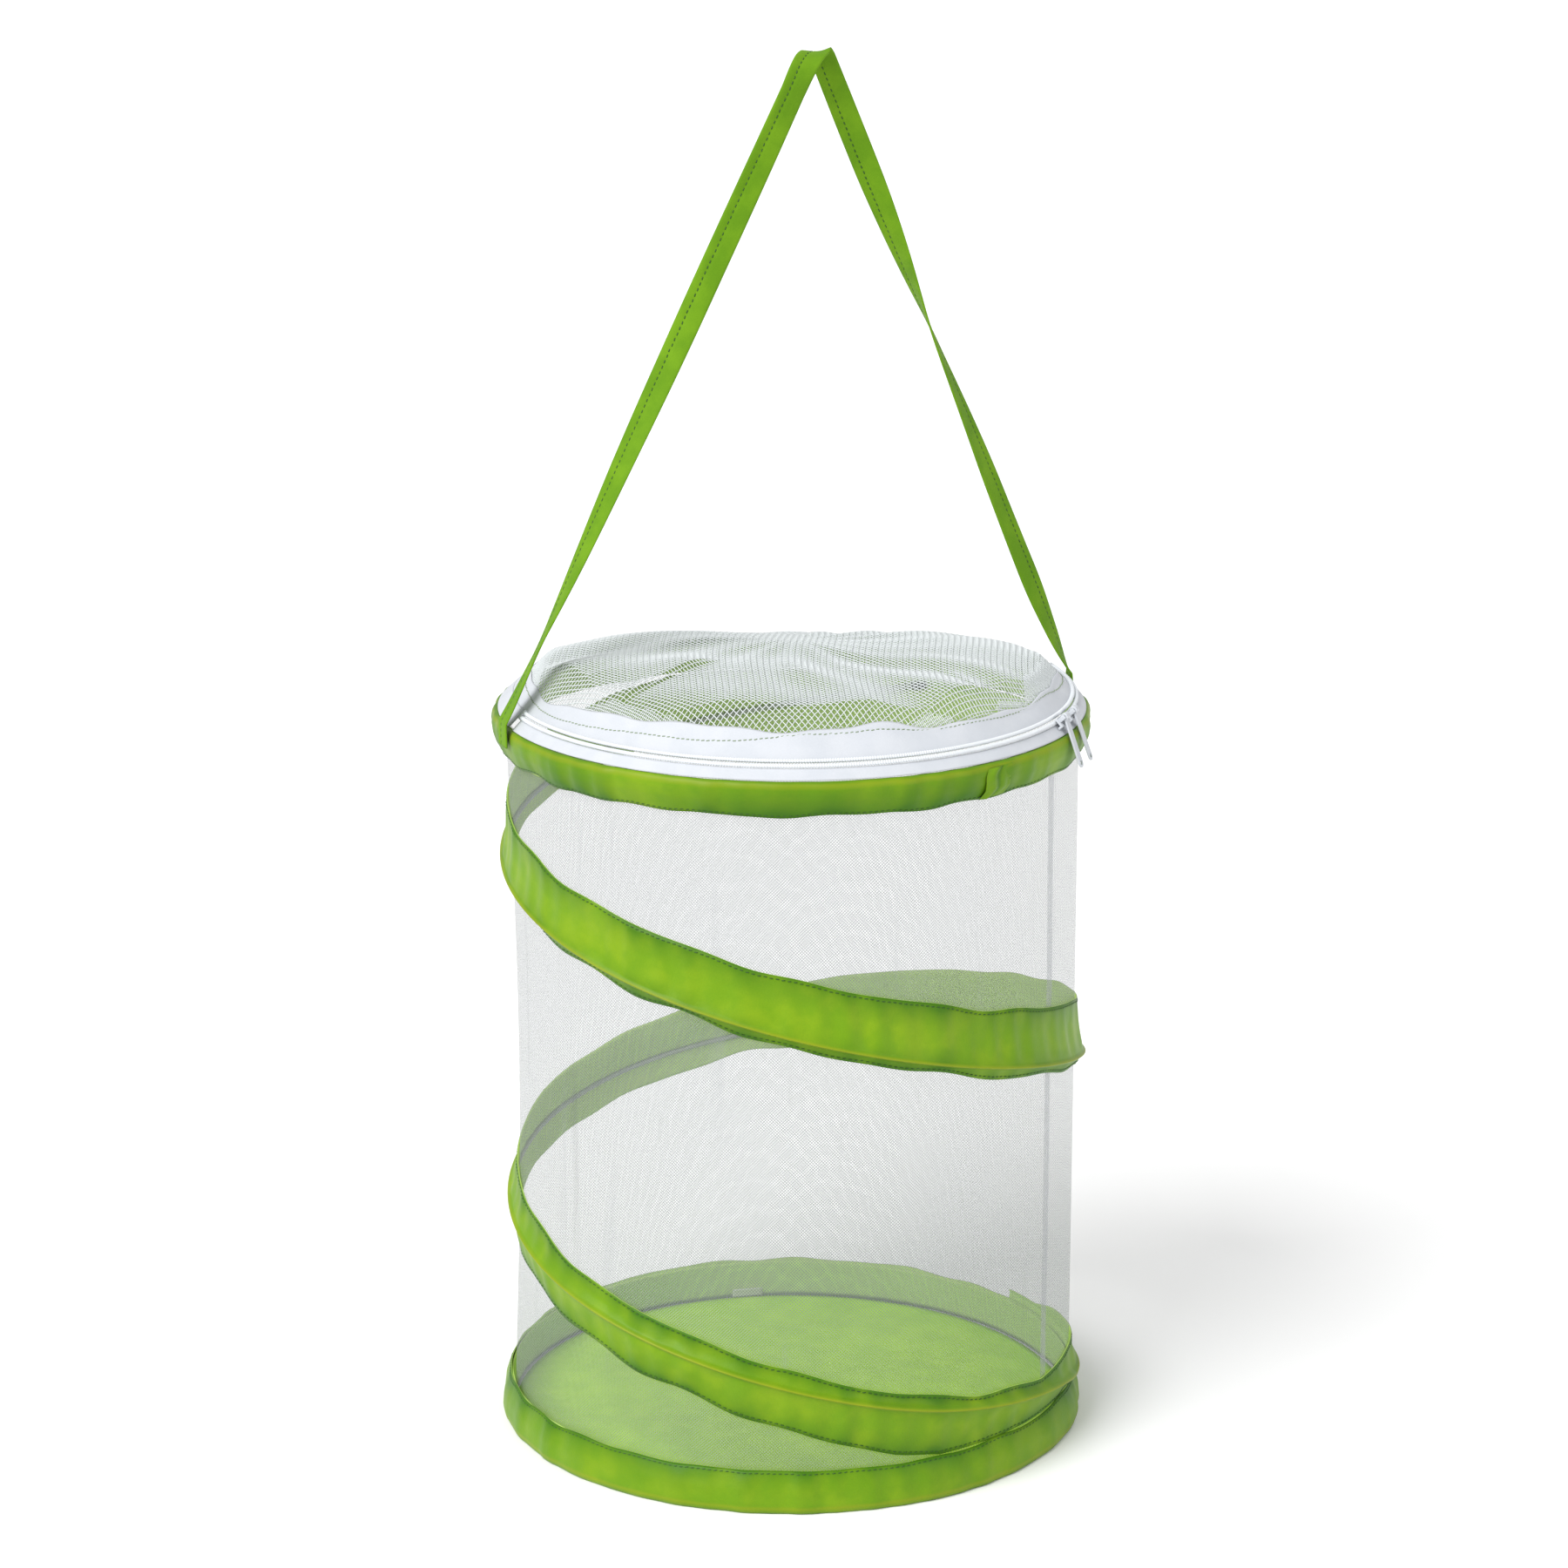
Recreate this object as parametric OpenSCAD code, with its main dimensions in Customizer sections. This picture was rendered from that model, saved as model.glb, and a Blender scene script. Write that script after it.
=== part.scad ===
// Pop-up mesh cage: two wire hoops and a two-turn spiral spring inside sewn sleeves,
// a net wall, a fabric floor, a zipped net lid and a webbing carrying strap.
// Origin at the centre of the underside, +Z up, front towards -Y.

/* [Cage] */
// Height of the top edge of the top band
cage_h = 379; // [360:1:420]
// Radius of the net wall, to its outside
net_r = 146.2; // [146:0.1:146.4]
// Thickness of the knitted net as a solid
net_t = 0.4; // [0.3:0.1:0.5]
// Thickness of the floor panel
floor_t = 0.8; // [0.5:0.1:1]

/* [Hoops and sleeves] */
// Radius of a hoop, to the centre of its wire
hoop_r = 149.4; // [149.2:0.1:149.5]
// Radius of the spring wire itself
wire_r = 1.25; // [1:0.05:1.3]
// Height of the bottom band
bottom_band = 22; // [20:1:24]
// Height of the top band
top_band = 18; // [16:1:18]

/* [Spiral] */
// Azimuth where the spiral starts, below the top band
spiral_from = 62; // [61:1:90]
// Azimuth where the spiral ends, above the bottom band
spiral_to = 706; // [650:1:710]
// Drop of the spiral for each degree of turn
spiral_drop = 0.509; // [0.45:0.001:0.52]
// Height of the wire at azimuth 180
spiral_z180 = 295; // [280:1:300]
// Width of the spiral's tape
spiral_tape_w = 35.5; // [30:0.5:38]

/* [Lid and zipper] */
// Azimuth of the zipper's left end
zip_from = -158.5; // [-158.5:0.5:-150]
// Azimuth of the zipper's right end
zip_to = 18.5; // [10:0.5:18.5]
// Azimuth of the line on which the lid folds
fold_az = 20; // [0:1:40]
// Distance of the fold line in front of the hoop's centre
fold_y = 40; // [35:1:80]
// Azimuth of the left slider, zipper closed
slider_a_az = -24.4; // [-100:0.1:-24.4]
// Azimuth of the right slider, zipper closed
slider_b_az = -19; // [-19:0.1:0]
// Length of a zipper pull, from its pivot to its tip
pull_len = 27; // [15:1:32]

/* [Strap] */
// Height of the strap's apex
strap_top = 708; // [600:1:740]
// Sideways place of the apex, in the strap's own plane
strap_apex_x = 11; // [-20:1:20]
// Width of the webbing
strap_w = 13; // [10:0.5:13]
// Thickness of the webbing
strap_t = 1.1; // [0.8:0.1:1.4]

/* [Hidden] */

// Finish of round parts
$fn = 96;

cloth_t = 0.6;                      // thickness of a sewn tape
net_in = net_r - net_t;             // inside radius of the net wall
sleeve_in = net_r + 0.2;            // inner layer of a sleeve, just outside the net
hoop_gap = 4;                       // angle left between the ends of a hoop's wire
ferrule_az = 110;                   // azimuth of both ferrules, at the back
ferrule_span = 10;                  // angle that a ferrule covers
ferrule_t = 0.35;                   // wall of a ferrule
run_gap = 0.05;                     // running clearance of a ferrule, cap or eye
bottom_wire_z = 2.6;                // height of the bottom wire
top_wire_z = cage_h - 4.5;          // height of the top wire
zip_r = 144.3;                      // radius of the outer coil's centre line
zip_z = cage_h + 6.4;               // height of the outer coil's centre line
coil_r = 1.2;                       // radius of one coil
coil_step = 2;                      // step in and up from the outer coil to the lid's coil
lid_cone_r = 149.3;                 // radius where the lid's cone would meet the band's top edge
hem_r = 123.5;                      // radius of the lid net's hem
crown = 7.4;                        // rise of the net inside its hem
cut_gap = 0.2;                      // half the gap between the lid's front and rear
strap_pivot_r = 153;                // distance of the strap's pivots from the centre
strap_pivot_z = cage_h + 2;         // height of the strap's pivots
strap_end_len = 22;                 // length of the twisted end of the strap

green = [0.47, 0.66, 0.16];
deep_green = [0.38, 0.56, 0.12];
white = [0.93, 0.94, 0.95];
net_white = [0.88, 0.9, 0.9];
steel = [0.62, 0.64, 0.66];

// Joins rings of points into one solid. With loop, the last ring meets the first.
module swept(rings, loop = false) {
    n = len(rings);
    m = len(rings[0]);
    spans = loop ? n - 1 : n - 2;
    sides = [
        for (i = [0:spans], j = [0:m - 1])
        let (k = (i + 1) % n, l = (j + 1) % m)
        [i * m + j, i * m + l, k * m + l, k * m + j]
    ];
    first_cap = [for (j = [m - 1:-1:0]) j];
    last_cap = [for (j = [0:m - 1]) (n - 1) * m + j];
    polyhedron([for (ring = rings) each ring], loop ? sides : concat([first_cap], [last_cap], sides));
}

// A point at a radius, azimuth and height
function at(r, az, z) = [r * cos(az), r * sin(az), z];

// Height of the spiral wire at an azimuth
function spiral_z(az) = spiral_z180 - spiral_drop * (az - 180);

// Turns its children about the hoop's centre
module facing(az) {
    rotate([0, 0, az]) children();
}

// Half the space, in front of the lid's fold line or behind it
module fold_side(front) {
    size = 400;
    facing(fold_az)
    translate([-size / 2, front ? -fold_y - cut_gap - size : -fold_y + cut_gap, cage_h - size / 2])
    cube(size);
}

// ---- hoops ----

module hoop_wire(z) {
    color(steel)
    facing(ferrule_az + hoop_gap / 2)
    rotate_extrude(angle = 360 - hoop_gap)
    translate([hoop_r, z])
    circle(r = wire_r, $fn = 24);
}

module hoop_ferrule(z) {
    color([0.72, 0.72, 0.7])
    facing(ferrule_az - ferrule_span / 2)
    rotate_extrude(angle = ferrule_span)
    translate([hoop_r, z])
    difference() {
        circle(r = wire_r + run_gap + ferrule_t, $fn = 24);
        circle(r = wire_r + run_gap, $fn = 24);
    }
}

module bottom_hoop_wire() { hoop_wire(bottom_wire_z); }
module bottom_wire_ferrule() { hoop_ferrule(bottom_wire_z); }
module top_hoop_wire() { hoop_wire(top_wire_z); }
module top_wire_ferrule() { hoop_ferrule(top_wire_z); }

// Tape folded under the bottom wire, both edges sewn to the net
module bottom_sleeve() {
    h = bottom_band;
    outside = [
        [147.9, h], [149.6, h * 0.82], [151.4, h * 0.55], [152.2, 4.6], [151.8, 1.8],
        [150.4, 0], [147.4, 0], [sleeve_in, 1.2], [sleeve_in, h]
    ];
    inside = [
        [147, h], [147, 1.5], [147.7, cloth_t], [150.1, cloth_t], [151.2, 2.2], [151.6, 4.6],
        [150.8, h * 0.54], [149.1, h * 0.8], [147.4, h - 0.1]
    ];
    color(green)
    rotate_extrude()
    polygon(concat(outside, inside));
}

// Tape folded over the top wire, both edges sewn to the net
module top_sleeve() {
    low = cage_h - top_band;
    outside = [
        [147.9, low], [149.7, cage_h - 14.4], [151.5, cage_h - 9.4], [152.2, cage_h - 4.8],
        [151.7, cage_h - 2], [150.3, cage_h - 0.3], [149, cage_h], [147.5, cage_h - 0.4],
        [sleeve_in, cage_h - 1.8], [sleeve_in, low]
    ];
    inside = [
        [147, low], [147, cage_h - 2.1], [147.8, cage_h - 1], [149, cage_h - 0.6],
        [150, cage_h - 0.9], [151.1, cage_h - 2.4], [151.6, cage_h - 4.8], [150.9, cage_h - 9.2],
        [149.2, cage_h - 14.1], [147.4, low + 0.1]
    ];
    color(green)
    rotate_extrude()
    polygon(concat(outside, inside));
}

// Short second layer where the ends of the top tape overlap
module sleeve_overlap_fold() {
    az = -48.5;
    span = 3.4;
    clear = 0.15;
    inside = [
        [147.9, cage_h - 17.8], [149.7, cage_h - 14.4], [151.5, cage_h - 9.4],
        [152.2, cage_h - 4.8], [151.7, cage_h - 2]
    ];
    outside = [for (i = [4:-1:0]) inside[i] + [cloth_t, 0]];
    color(deep_green)
    facing(az - span / 2)
    rotate_extrude(angle = span)
    translate([clear, 0])
    polygon(concat(inside, outside));
}

// ---- net body ----

module floor_panel() {
    color(green)
    cylinder(r = net_in - 0.3, h = floor_t);
}

// Small blank label, caught in the floor seam at the back
module care_label() {
    az = 96.3;
    span = 6.7;
    color(white)
    facing(az)
    rotate_extrude(angle = span)
    translate([net_in - 0.9, floor_t + 0.2])
    square([cloth_t, 5]);
}

module net_wall() {
    color(net_white, 0.5)
    rotate_extrude()
    translate([net_in, 0.3])
    square([net_t, cage_h - 1.3]);
}

// Lapped edges of the net, inside the wall
module wall_side_seam() {
    az = -28.8;
    span = 2.4;
    color(white)
    facing(az)
    rotate_extrude(angle = span)
    translate([net_in - cloth_t - 0.05, floor_t + 0.2])
    square([cloth_t, cage_h - 2.4]);
}

// ---- spiral ----

spiral_r = 149.3;                   // radius of the spiral wire's centre line
spiral_steps = 92;                  // straight pieces that the wire is drawn with
cap_cover = 3;                      // angle at each end of the spiral that its cap covers

// Distance from the wire up to the tape's upper edge: the pocket's place drifts along the tape
function tape_above(az) = lookup(az, [[400, 29.5], [540, 20], [630, 11], [720, 6]]);
function tape_top(az) = min(spiral_z(az) + tape_above(az), cage_h - top_band - 0.4);
function tape_low(az) = max(spiral_z(az) + tape_above(az) - spiral_tape_w, bottom_band + 0.4);

module spiral_wire() {
    sides = 8;
    color(steel)
    swept([
        for (k = [0:spiral_steps])
        let (az = spiral_from + (spiral_to - spiral_from) * k / spiral_steps)
        [for (i = [0:sides - 1])
            at(spiral_r + wire_r * cos(i * 360 / sides), az, spiral_z(az) + wire_r * sin(i * 360 / sides))]
    ]);
}

// Tape over the spiral wire: both edges lie on the net, the middle bulges over the wire
module spiral_sleeve() {
    steps = 106;
    from = spiral_from + cap_cover;
    to = spiral_to - cap_cover;
    edge = sleeve_in + 0.05;
    bulge = spiral_r + 2;
    color(green)
    swept([
        for (k = [0:steps])
        let (
            az = from + (to - from) * k / steps,
            mid = spiral_z(az),
            top = tape_top(az),
            low = tape_low(az),
            flank = mid + 0.45 * (top - mid)
        )
        [
            at(edge, az, low), at(bulge - 0.55, az, mid - 1.3), at(bulge, az, mid),
            at(bulge - 0.55, az, mid + 1.3), at(edge + 1.35, az, flank), at(edge, az, top),
            at(edge + cloth_t, az, top), at(edge + 1.35 + cloth_t, az, flank),
            at(bulge + 0.1, az, mid + 1.6), at(bulge + cloth_t, az, mid), at(bulge + 0.1, az, mid - 1.6),
            at(edge + cloth_t, az, low)
        ]
    ]);
}

// Closed plastic cap on an end of the spiral wire. way is 1 where the wire ends as its azimuth grows.
module spiral_cap(az, way) {
    deep = 6;
    slope = atan(spiral_drop * 180 / PI / spiral_r);
    half_step = (spiral_to - spiral_from) / spiral_steps / 2;
    color([0.2, 0.2, 0.2])
    translate(at(spiral_r, az, spiral_z(az)))
    facing(az - way * half_step)
    rotate([-90 - slope, 0, 0])
    mirror([0, 0, way > 0 ? 0 : 1])
    translate([0, 0, -deep])
    difference() {
        cylinder(r = 1.95, h = deep + 1.6, $fn = 32);
        translate([0, 0, -1])
        cylinder(r = 1.45, h = deep + 1.3, $fn = 32);
    }
}

module spiral_cap_upper() { spiral_cap(spiral_from, -1); }
module spiral_cap_lower() { spiral_cap(spiral_to, 1); }

// ---- zipper ----

// Tape between the band's top edge and the coil, on the cone
module outer_zipper_tape() {
    color(white)
    facing(zip_from)
    rotate_extrude(angle = zip_to - zip_from)
    polygon([
        [lid_cone_r - 0.1, cage_h + 0.3], [lid_cone_r - 3.9, cage_h + 4.1],
        [lid_cone_r - 3.5, cage_h + 4.5], [lid_cone_r + 0.3, cage_h + 0.7]
    ]);
}

module coil(steps) {
    color(white)
    facing(zip_from)
    rotate_extrude(angle = zip_to - zip_from)
    translate([zip_r - coil_step * steps, zip_z + coil_step * steps])
    circle(r = coil_r, $fn = 24);
}

module outer_coil() { coil(0); }

module lid_coil_front() {
    intersection() {
        coil(1);
        fold_side(true);
    }
}

module lid_coil_ends() {
    intersection() {
        coil(1);
        fold_side(false);
    }
}

// Moulded stop across both coils, just past the end of the zipper
module zipper_stop(az) {
    color(white)
    facing(az)
    translate([zip_r - coil_step / 2, 0, zip_z + coil_step / 2])
    rotate([0, -45, 0])
    cube([1.9, 2, 5.6], center = true);
}

module zipper_stop_left() { zipper_stop(zip_from - 0.5); }
module zipper_stop_right() { zipper_stop(zip_to + 0.5); }

// ---- lid ----

// Share of the lid's full rise that is left at a place: the back lies nearly flat
function rise(y) =
    let (u = min(max((y + 10) / 160, 0), 1))
    1 - 0.8 * u * u * (3 - 2 * u);

// Height of the lid's upper face at a place
function lid_z(r, az) =
    let (
        cone = min(lid_cone_r - r, lid_cone_r - hem_r),
        dome = r < hem_r ? crown * (1 - pow(r / hem_r, 12)) : 0
    )
    cage_h + 0.6 + (cone + dome) * rise(r * sin(az));

// Ring of lid cloth between two radii
module lid_ring(radii, t, from = 0, to = 360) {
    step = 6;
    back = [for (i = [len(radii) - 1:-1:0]) radii[i]];
    whole = to - from >= 360;
    swept([
        for (az = [from:step:to - (whole ? step : 0)])
        concat(
            [for (r = radii) at(r, az, lid_z(r, az))],
            [for (r = back) at(r, az, lid_z(r, az) - t)]
        )
    ], whole);
}

module lid_net() {
    color(net_white, 0.5)
    lid_ring([0.5, 30, 60, 80, 95, 105, 112, 118, hem_r - 0.2], 0.5);
}

module lid_tape() {
    color(white)
    lid_ring([hem_r + 0.2, 128, 134, 140.6], cloth_t);
}

module lid_net_rear() {
    intersection() {
        lid_net();
        fold_side(false);
    }
}

module lid_net_front() {
    intersection() {
        lid_net();
        fold_side(true);
    }
}

module lid_tape_rear() {
    intersection() {
        lid_tape();
        fold_side(false);
    }
}

module lid_tape_front() {
    intersection() {
        lid_tape();
        fold_side(true);
    }
}

// Plain white tape that carries on round the back where there is no zipper
module rear_binding_tape() {
    color(white)
    lid_ring([141, 145, 149.2], cloth_t, zip_to + 2.5, zip_from + 360 - 2.5);
}

// ---- sliders and pulls ----

slider_half = 4.4;                  // half the slider's length along the zipper
bar_r = 0.8;                        // radius of the slider's bridge bar
bar_in = -1;                        // bar's place along the lid's slope, from the coil
bar_up = 5.5;                       // bar's height over the slope

// Puts its children on the zipper, with X down the slope outwards, Y along it and Z off it
module on_zipper(az) {
    facing(az)
    translate([zip_r, 0, zip_z])
    rotate([0, 45, 0])
    children();
}

// Saddle over the outer coil, with a bar on two posts for the pull
module slider(az) {
    bar_x = -bar_in;
    color(white)
    on_zipper(az)
    union() {
        translate([-1, -slider_half, 1.5])
        cube([5.4, 2 * slider_half, 1.1]);
        translate([3.2, -slider_half, -0.2])
        cube([1.2, 2 * slider_half, 2.3]);
        for (side = [-1, 1])
        translate([bar_x - 1.1, side * 3 - 0.5, 2])
        cube([2.2, 1, bar_up - 2 + 1]);
        translate([bar_x, 3, bar_up])
        rotate([90, 0, 0])
        cylinder(r = bar_r, h = 6, $fn = 32);
    }
}

module slider_a() { slider(slider_a_az); }
module slider_b() { slider(slider_b_az); }

// Long flat pull hanging down over the band, with an eye round the slider's bar
module pull(az) {
    lean = 20;
    eye_r = 1.9;
    tip_r = 2.6;
    hole_r = 1.3;
    width = 4.4;
    thick = 1.1;
    pivot_r = zip_r + (bar_up - bar_in) / sqrt(2);
    pivot_z = zip_z + (bar_up + bar_in) / sqrt(2);
    color([0.96, 0.96, 0.97])
    facing(az)
    translate([pivot_r, 0, pivot_z])
    rotate([0, -lean, 0])
    difference() {
        union() {
            rotate([90, 0, 0])
            cylinder(r = eye_r, h = width, center = true, $fn = 40);
            translate([-thick / 2, -width / 2, -pull_len + tip_r])
            cube([thick, width, pull_len - tip_r]);
            translate([0, 0, -pull_len + tip_r])
            rotate([0, 90, 0])
            cylinder(r = tip_r, h = thick, center = true, $fn = 40);
        }
        rotate([90, 0, 0])
        cylinder(r = bar_r + 2 * run_gap, h = width + 2, center = true, $fn = 40);
        translate([0, 0, -pull_len + tip_r])
        rotate([0, 90, 0])
        cylinder(r = hole_r, h = thick + 2, center = true, $fn = 40);
    }
}

module pull_a() { pull(slider_a_az); }
module pull_b() { pull(slider_b_az); }

// ---- strap ----

apex = [strap_apex_x, strap_top - strap_pivot_z];

// Unit vector from the pivot on one side up to the apex, in the strap's plane
function leg_dir(side) =
    let (v = apex - [side * strap_pivot_r, 0])
    v / norm(v);

// A point on a leg: along it from the pivot, and across it towards the outside
function leg_point(side, along, out) =
    let (d = leg_dir(side))
    [side * strap_pivot_r, 0] + along * d + out * side * [d[1], -d[0]];

// Stands its 2D children up in the strap's plane, thick as the webbing
module in_strap_plane(t) {
    facing(fold_az)
    translate([0, t / 2, strap_pivot_z])
    rotate([90, 0, 0])
    linear_extrude(t)
    children();
}

// Flat webbing, bent in its own plane at the top
module strap_webbing() {
    half = strap_w / 2;
    bend = 13;
    drop = 17;
    color(green)
    in_strap_plane(strap_t)
    polygon([
        leg_point(-1, strap_end_len, half), apex + [-bend, -0.5], apex + [bend, -0.5],
        leg_point(1, strap_end_len, half), leg_point(1, strap_end_len, -half),
        apex + [bend * 0.3, -drop], apex + [-bend * 0.3, -drop],
        leg_point(-1, strap_end_len, -half)
    ]);
}

// Lower end of the webbing, turning from flat in the strap's plane to flat on the band
module strap_end(side) {
    slice = 0.6;
    half = strap_w / 2;
    color(deep_green)
    hull() {
        in_strap_plane(strap_t)
        polygon([
            leg_point(side, strap_end_len, half), leg_point(side, strap_end_len - slice, half),
            leg_point(side, strap_end_len - slice, -half), leg_point(side, strap_end_len, -half)
        ]);
        facing(fold_az)
        translate([side * strap_pivot_r - strap_t / 2, -half, strap_pivot_z + 0.1])
        cube([strap_t, strap_w, slice]);
    }
}

module strap_end_left() { strap_end(-1); }
module strap_end_right() { strap_end(1); }

// End of the webbing sewn flat on the outside of the top band
module strap_tack(side) {
    thick = 1.2;
    color(deep_green)
    facing(fold_az)
    translate([side > 0 ? strap_pivot_r - 0.5 : -strap_pivot_r + 0.5 - thick, -strap_w / 2, cage_h - 15])
    cube([thick, strap_w, 16.6]);
}

module strap_tack_left() { strap_tack(-1); }
module strap_tack_right() { strap_tack(1); }

bottom_hoop_wire();
bottom_wire_ferrule();
bottom_sleeve();
floor_panel();
care_label();
net_wall();
wall_side_seam();
spiral_wire();
spiral_cap_upper();
spiral_cap_lower();
spiral_sleeve();
top_hoop_wire();
top_wire_ferrule();
top_sleeve();
sleeve_overlap_fold();
outer_zipper_tape();
rear_binding_tape();
outer_coil();
zipper_stop_left();
zipper_stop_right();
lid_net_rear();
lid_tape_rear();
lid_coil_ends();
lid_net_front();
lid_tape_front();
lid_coil_front();
slider_a();
slider_b();
pull_a();
pull_b();
strap_tack_left();
strap_tack_right();
strap_end_left();
strap_end_right();
strap_webbing();
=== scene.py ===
"""Looks of the pop-up mesh cage: cloth tapes, nets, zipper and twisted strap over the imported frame.

Lengths are in millimetres and azimuths in degrees, in the row frame: +Z up, front towards -Y.
"""

import math

import bmesh
import bpy
import numpy as np
from mathutils import Matrix, Vector


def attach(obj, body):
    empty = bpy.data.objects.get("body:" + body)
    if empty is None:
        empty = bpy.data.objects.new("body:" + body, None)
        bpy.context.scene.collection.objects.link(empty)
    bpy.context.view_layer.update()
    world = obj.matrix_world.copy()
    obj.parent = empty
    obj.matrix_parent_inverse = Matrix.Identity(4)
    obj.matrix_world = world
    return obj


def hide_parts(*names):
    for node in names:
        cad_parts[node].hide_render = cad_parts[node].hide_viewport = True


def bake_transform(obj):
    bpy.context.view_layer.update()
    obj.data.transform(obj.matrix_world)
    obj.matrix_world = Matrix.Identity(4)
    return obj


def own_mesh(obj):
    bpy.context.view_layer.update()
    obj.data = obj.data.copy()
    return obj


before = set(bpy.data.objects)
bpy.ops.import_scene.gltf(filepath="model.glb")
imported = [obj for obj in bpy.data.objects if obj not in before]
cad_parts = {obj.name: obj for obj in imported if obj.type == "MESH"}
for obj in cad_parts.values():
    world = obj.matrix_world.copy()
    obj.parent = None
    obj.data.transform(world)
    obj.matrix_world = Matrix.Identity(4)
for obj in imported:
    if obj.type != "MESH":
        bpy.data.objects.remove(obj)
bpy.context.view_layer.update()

MM = 0.001
TAU = 2 * math.pi
CAGE_H = 379.0
NET_R = 146.2
BOTTOM_BAND = 22.0  # heights of the two sleeves
TOP_BAND = 18.0
ZIP_FROM, ZIP_TO = -158.5, 18.5
ZIP_R, ZIP_Z = 144.3, CAGE_H + 6.4
COIL_STEP = 2.0  # inwards and up, from the outer coil to the lid's
CONE_R = 149.3  # where the lid's cone meets the top of the cage
HEM_R = 123.5  # where the cone ends, and how far the net's middle rises above that
CROWN = 7.4
FOLD_AZ = 20.0  # the lid folds on a line at this azimuth, behind the middle by FOLD_Y
FOLD_Y = 40.0
SPIRAL_R = 149.3
SPIRAL_FROM, SPIRAL_TO = 62.0, 706.0
STRAP_W, STRAP_T = 13.0, 1.1


# ---- small helpers ----


def smooth(t):
    """0 below 0, 1 above 1, and an S between."""
    t = np.clip(t, 0, 1)
    return t * t * (3 - 2 * t)


def bump(t):
    """A round bump, 1 at 0 and 0 from 1 on."""
    return smooth(1 - np.abs(t))


def ripple(t, low, high, seed, count=9):
    """Random smooth waves of about unit height along t in radians, with whole frequencies low to high."""
    r = np.random.default_rng(seed)
    total = 0
    for k in r.integers(low, high + 1, count):
        total = total + r.uniform(0.5, 1) * np.sin(k * t + r.uniform(0, TAU))
    mean_square = 0.3  # of one wave
    return total / math.sqrt(count * mean_square)


def polar(r, az, z):
    """Points in mm from radius, azimuth in degrees and height."""
    a = np.radians(az)
    r, a, z = np.broadcast_arrays(np.asarray(r, float), a, np.asarray(z, float))
    return np.stack([r * np.cos(a), r * np.sin(a), z], -1)


def link(name, mesh, material, smooth_faces=True):
    """Puts a mesh in the scene with its material."""
    mesh.materials.append(material)
    if smooth_faces:
        mesh.polygons.foreach_set("use_smooth", [True] * len(mesh.polygons))
    o = bpy.data.objects.new(name, mesh)
    bpy.context.scene.collection.objects.link(o)
    return o


def surface(name, points, material, uv=None, loop_u=False, loop_v=False, caps=False):
    """A mesh over a grid of points in mm. uv has one more row or column than the points where they loop."""
    nu, nv = points.shape[:2]
    rows = np.arange(nu if loop_u else nu - 1)
    columns = np.arange(nv if loop_v else nv - 1)
    i, j = np.meshgrid(rows, columns, indexing="ij")
    k, l = (i + 1) % nu, (j + 1) % nv
    faces = np.stack([i * nv + j, k * nv + j, k * nv + l, i * nv + l], -1).reshape(-1, 4).tolist()
    quads = len(faces)
    if caps:
        faces.append(list(range(nv - 1, -1, -1)))
        faces.append([(nu - 1) * nv + c for c in range(nv)])
    mesh = bpy.data.meshes.new(name)
    mesh.from_pydata((points.reshape(-1, 3) * MM).tolist(), [], faces)
    if uv is not None:
        corners = np.stack([uv[i, j], uv[i + 1, j], uv[i + 1, j + 1], uv[i, j + 1]], -2).reshape(-1, 2)
        data = np.zeros((len(mesh.loops), 2))
        data[: 4 * quads] = corners
        mesh.uv_layers.new(name="cloth").data.foreach_set("uv", data.ravel())
    outwards(mesh)
    return link(name, mesh, material)


def mark(o, name, values):
    """Gives each point of a mesh a number that its material reads."""
    data = np.asarray(values, np.float32).ravel()
    o.data.attributes.new(name, "FLOAT", "POINT").data.foreach_set("value", data)


def skin(front, rear):
    """The closed section of a cloth: along its outer face, and back along its inner one."""
    return np.concatenate([front, rear[:, ::-1]], 1)


def outwards(mesh):
    """Turns all faces of a mesh to face out."""
    b = bmesh.new()
    b.from_mesh(mesh)
    bmesh.ops.recalc_face_normals(b, faces=b.faces)
    b.to_mesh(mesh)
    b.free()


def tube(name, path, radius, material, sides=10):
    """A round tube along points in mm. radius is one number or one for each point."""
    tangent = unit(np.gradient(path, axis=0))
    side = unit(np.cross(tangent, [0, 0, 1.0]))
    up = np.cross(side, tangent)
    a = np.linspace(0, TAU, sides, endpoint=False)
    r = np.broadcast_to(radius, (len(path),))[:, None, None]
    ring = side[:, None] * np.cos(a)[None, :, None] + up[:, None] * np.sin(a)[None, :, None]
    return surface(name, path[:, None] + r * ring, material, loop_v=True, caps=True)


def boxes(name, centres, along, across, out, size, material):
    """Many small bars with pinched ends in one mesh, such as stitches. size is (length, width, height)."""
    c, t, w, n = (np.asarray(v, float) for v in (centres, along, across, out))
    length, width, height = size
    shape = [
        (-0.5, 0, -0.5), (-0.3, -0.5, 0), (-0.3, 0, 0.5), (-0.3, 0.5, 0),
        (0.5, 0, -0.5), (0.3, -0.5, 0), (0.3, 0, 0.5), (0.3, 0.5, 0),
    ]
    corners = [c + t * (a * length) + w * (b * width) + n * (h * height) for a, b, h in shape]
    verts = np.stack(corners, 1).reshape(-1, 3)
    pattern = np.array([[0, 1, 2], [0, 2, 3], [4, 6, 5], [4, 7, 6]])
    quads = np.array([[1, 5, 6, 2], [2, 6, 7, 3], [0, 3, 7, 4], [0, 4, 5, 1]])
    start = 8 * np.arange(len(c))[:, None, None]
    faces = (pattern + start).reshape(-1, 3).tolist() + (quads + start).reshape(-1, 4).tolist()
    mesh = bpy.data.meshes.new(name)
    mesh.from_pydata((verts * MM).tolist(), [], faces)
    outwards(mesh)
    return link(name, mesh, material)


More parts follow.
